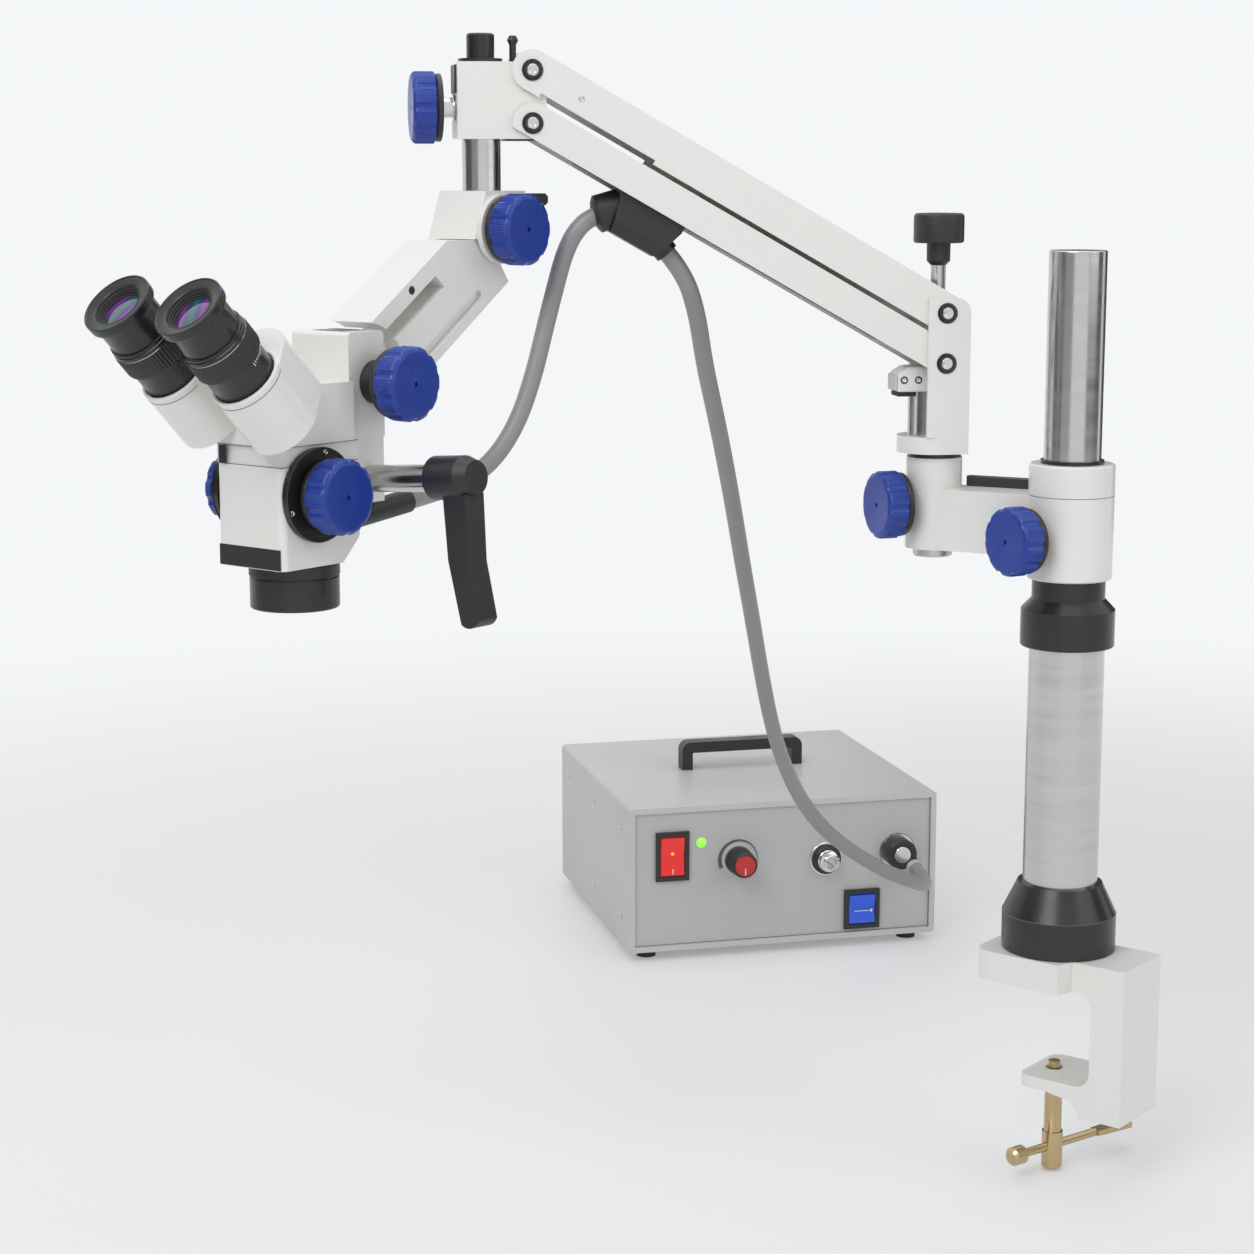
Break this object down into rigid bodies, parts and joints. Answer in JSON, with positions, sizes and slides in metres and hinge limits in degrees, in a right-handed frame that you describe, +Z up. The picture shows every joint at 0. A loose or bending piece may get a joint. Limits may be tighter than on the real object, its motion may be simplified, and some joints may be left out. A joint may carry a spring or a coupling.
{
  "type": "surgical microscope",
  "caption": "Table-clamped surgical microscope on a swinging parallel arm, with a binocular head, blue lock knobs and a separate light source joined by a fibre light guide.",
  "frame": {"origin": "on the pole's axis, at the underside of the clamp's upper jaw, where the table top bears", "axes": "+Z up along the pole; at rest the parallel arm runs along -X from the pole, and the light source stands towards +Y"},
  "size_m": [0.7143, 0.9828, 0.7742],
  "materials": {
    "white_paint": "satin",
    "stainless": "brushed",
    "black_anodised": "satin",
    "black_plastic": "matte",
    "blue_plastic": "satin",
    "brass": "satin",
    "grey_sheath": "matte",
    "case_grey": "satin",
    "panel_grey": "satin",
    "red_plastic": "gloss",
    "blue_switch": "gloss",
    "rubber": "matte"
  },
  "bodies": {
    "clamp_pole": {"clamp_frame": "white_paint", "lower_collar": "black_anodised", "lower_tube": "stainless", "upper_collar": "black_anodised", "upper_tube": "stainless", "case_shell": "case_grey", "front_panel": "panel_grey", "rubber_feet": "rubber", "carry_handle": "black_plastic", "panel_fittings": "black_plastic", "light_socket": "stainless", "guide_plug": "black_plastic", "light_guide_lower": "grey_sheath"},
    "screw_tip": {"screw_tip": "brass"},
    "clamp_screw": {"clamp_screw": "brass"},
    "tommy_bar": {"tommy_bar": "brass"},
    "red_switch": {"red_switch": "red_plastic"},
    "blue_switch": {"blue_switch": "blue_switch"},
    "dimmer_knob": {"dimmer_knob": "black_plastic"},
    "sleeve_bush": {"sleeve_bush": "black_anodised"},
    "pole_arm": {"pole_arm": "white_paint", "hub_ring": "white_paint"},
    "hub_knob": {"hub_knob": "blue_plastic"},
    "boss_knob": {"boss_knob": "blue_plastic"},
    "bracket": {"bracket": "white_paint", "bearing_ring": "black_anodised", "swivel_pin": "stainless", "stop_block": "white_paint", "rear_pivots": "black_anodised"},
    "tension_knob": {"tension_knob": "black_plastic"},
    "upper_link": {"upper_link": "white_paint"},
    "lower_link": {"lower_link": "white_paint", "spring_cover": "black_plastic", "cable_clip": "black_plastic", "light_guide_upper": "grey_sheath"},
    "front_block": {"front_block": "white_paint", "front_pivots": "black_anodised", "cable_hook": "black_anodised"},
    "front_knob": {"front_knob": "blue_plastic"},
    "head_spindle": {"spindle": "stainless", "spindle_cap": "black_anodised", "elbow_housing": "white_paint", "stop_lever": "black_plastic"},
    "elbow_knob": {"elbow_knob": "blue_plastic"},
    "tilt_arm": {"tilt_arm": "white_paint", "tilt_link": "white_paint"},
    "carrier": {"carrier": "white_paint", "binocular_base": "white_paint", "pod": "white_paint", "objective": "black_anodised", "knob_flanges": "black_anodised", "handle_bar": "stainless", "guide_elbow": "black_plastic"},
    "carrier_knob": {"carrier_knob": "blue_plastic"},
    "mag_knobs": {"mag_knobs": "blue_plastic"},
    "grip_lever": {"grip_lever": "black_plastic"},
    "right_prism_housing": {"right_prism_housing": "white_paint"},
    "left_prism_housing": {"left_prism_housing": "white_paint"},
    "right_eyepiece": {"right_eyepiece": "black_anodised"},
    "left_eyepiece": {"left_eyepiece": "black_anodised"}
  },
  "joints": [
    {"name": "screw_advance", "type": "slide", "parent": "clamp_pole", "child": "screw_tip", "axis": [0, 0, 1], "range_m": [0, 0.037]},
    {"name": "screw_turn", "type": "hinge", "parent": "screw_tip", "child": "clamp_screw", "pos_m": [0, 0, -0.1], "axis": [0, 0, 1], "range_deg": [0, 6660]},
    {"name": "tommy_slide", "type": "slide", "parent": "clamp_screw", "child": "tommy_bar", "axis": [0.8988, 0.4384, 0], "range_m": [-0.034, 0.021]},
    {"name": "red_rocker", "type": "hinge", "parent": "clamp_pole", "child": "red_switch", "pos_m": [-0.16827, 0.52621, -0.0465], "axis": [0.9976, 0.0698, 0], "range_deg": [-5, 5]},
    {"name": "blue_rocker", "type": "hinge", "parent": "clamp_pole", "child": "blue_switch", "pos_m": [0.0073, 0.53849, -0.106], "axis": [0.9976, 0.0698, 0], "range_deg": [-5, 5]},
    {"name": "dimmer_turn", "type": "hinge", "parent": "clamp_pole", "child": "dimmer_knob", "pos_m": [-0.10842, 0.5304, -0.053], "axis": [0.0698, -0.9976, 0], "range_deg": [0, 270]},
    {"name": "height_slide", "type": "slide", "parent": "clamp_pole", "child": "sleeve_bush", "axis": [0, 0, 1], "range_m": [0, 0.13], "deforming": ["light_guide_lower"]},
    {"name": "pole_swing", "type": "hinge", "parent": "sleeve_bush", "child": "pole_arm", "pos_m": [0, 0, 0.306], "axis": [0, 0, 1], "range_deg": [-120, 120], "deforming": ["light_guide_lower"]},
    {"name": "hub_lock", "type": "hinge", "parent": "pole_arm", "child": "hub_knob", "pos_m": [0, 0, 0.3058], "axis": [-0.9304, -0.3665, 0], "range_deg": [0, 180]},
    {"name": "boss_lock", "type": "hinge", "parent": "pole_arm", "child": "boss_knob", "pos_m": [-0.07723, 0.06033, 0.3228], "axis": [-0.9848, -0.1736, 0], "range_deg": [0, 180]},
    {"name": "bracket_swing", "type": "hinge", "parent": "pole_arm", "child": "bracket", "pos_m": [-0.07723, 0.06033, 0.325], "axis": [0, 0, 1], "range_deg": [-150, 110], "deforming": ["light_guide_lower"]},
    {"name": "tension_turn", "type": "hinge", "parent": "bracket", "child": "tension_knob", "pos_m": [-0.07723, 0.06033, 0.5], "axis": [0, 0, 1], "range_deg": [0, 360]},
    {"name": "arm_lift", "type": "hinge", "parent": "bracket", "child": "upper_link", "pos_m": [-0.07723, 0.06033, 0.453], "axis": [0, 1, 0], "range_deg": [-62, 3]},
    {"name": "lower_link_swing", "type": "hinge", "parent": "bracket", "child": "lower_link", "pos_m": [-0.07723, 0.06033, 0.4195], "axis": [0, 1, 0], "range_deg": [-62, 3], "deforming": ["light_guide_lower", "light_guide_upper"]},
    {"name": "front_level", "type": "hinge", "parent": "upper_link", "child": "front_block", "pos_m": [-0.35574, 0.06033, 0.61058], "axis": [0, 1, 0], "range_deg": [-3, 62], "deforming": ["light_guide_upper"]},
    {"name": "front_lock", "type": "hinge", "parent": "front_block", "child": "front_knob", "pos_m": [-0.40574, 0.06033, 0.58708], "axis": [-1, 0, 0], "range_deg": [0, 180]},
    {"name": "head_swing", "type": "hinge", "parent": "front_block", "child": "head_spindle", "pos_m": [-0.38674, 0.06033, 0.57408], "axis": [0, 0, 1], "range_deg": [-95, 95], "deforming": ["light_guide_upper"]},
    {"name": "elbow_lock", "type": "hinge", "parent": "head_spindle", "child": "elbow_knob", "pos_m": [-0.3912, 0.05632, 0.50968], "axis": [0.6691, -0.7431, 0], "range_deg": [0, 180]},
    {"name": "elbow_tilt", "type": "hinge", "parent": "head_spindle", "child": "tilt_arm", "pos_m": [-0.3912, 0.05632, 0.50968], "axis": [0.6691, -0.7431, 0], "range_deg": [0, 40], "deforming": ["light_guide_upper"]},
    {"name": "carrier_tilt", "type": "hinge", "parent": "tilt_arm", "child": "carrier", "pos_m": [-0.48307, -0.0264, 0.41925], "axis": [0.6691, -0.7431, 0], "range_deg": [-10, 35], "deforming": ["light_guide_upper"]},
    {"name": "carrier_lock", "type": "hinge", "parent": "carrier", "child": "carrier_knob", "pos_m": [-0.48307, -0.0264, 0.41925], "axis": [0.6691, -0.7431, 0], "range_deg": [0, 180]},
    {"name": "mag_turn", "type": "hinge", "parent": "carrier", "child": "mag_knobs", "pos_m": [-0.52468, -0.06387, 0.35525], "axis": [0.6691, -0.7431, 0], "continuous": true},
    {"name": "grip_turn", "type": "hinge", "parent": "carrier", "child": "grip_lever", "pos_m": [-0.47043, -0.04193, 0.35925], "axis": [0.6671, -0.7409, 0.0785], "range_deg": [-60, 60]},
    {"name": "right_ipd", "type": "hinge", "parent": "carrier", "child": "right_prism_housing", "pos_m": [-0.51989, -0.08983, 0.41144], "axis": [-0.5255, -0.4731, 0.7071], "range_deg": [-10, 12]},
    {"name": "left_ipd", "type": "hinge", "parent": "carrier", "child": "left_prism_housing", "pos_m": [-0.55, -0.05639, 0.41144], "axis": [-0.5255, -0.4731, 0.7071], "range_deg": [-12, 10]},
    {"name": "right_diopter", "type": "hinge", "parent": "right_prism_housing", "child": "right_eyepiece", "pos_m": [-0.52486, -0.10437, 0.39802], "axis": [-0.5255, -0.4731, 0.7071], "range_deg": [-150, 150]},
    {"name": "left_diopter", "type": "hinge", "parent": "left_prism_housing", "child": "left_eyepiece", "pos_m": [-0.56498, -0.05982, 0.39802], "axis": [-0.5255, -0.4731, 0.7071], "range_deg": [-150, 150]}
  ],
  "couplings": [
    {"joint": "screw_advance", "follows": "screw_turn", "m_per_rad": 0.00031831},
    {"joint": "lower_link_swing", "follows": "arm_lift", "ratio": 1},
    {"joint": "front_level", "follows": "arm_lift", "ratio": -1},
    {"joint": "left_ipd", "follows": "right_ipd", "ratio": -1}
  ]
}
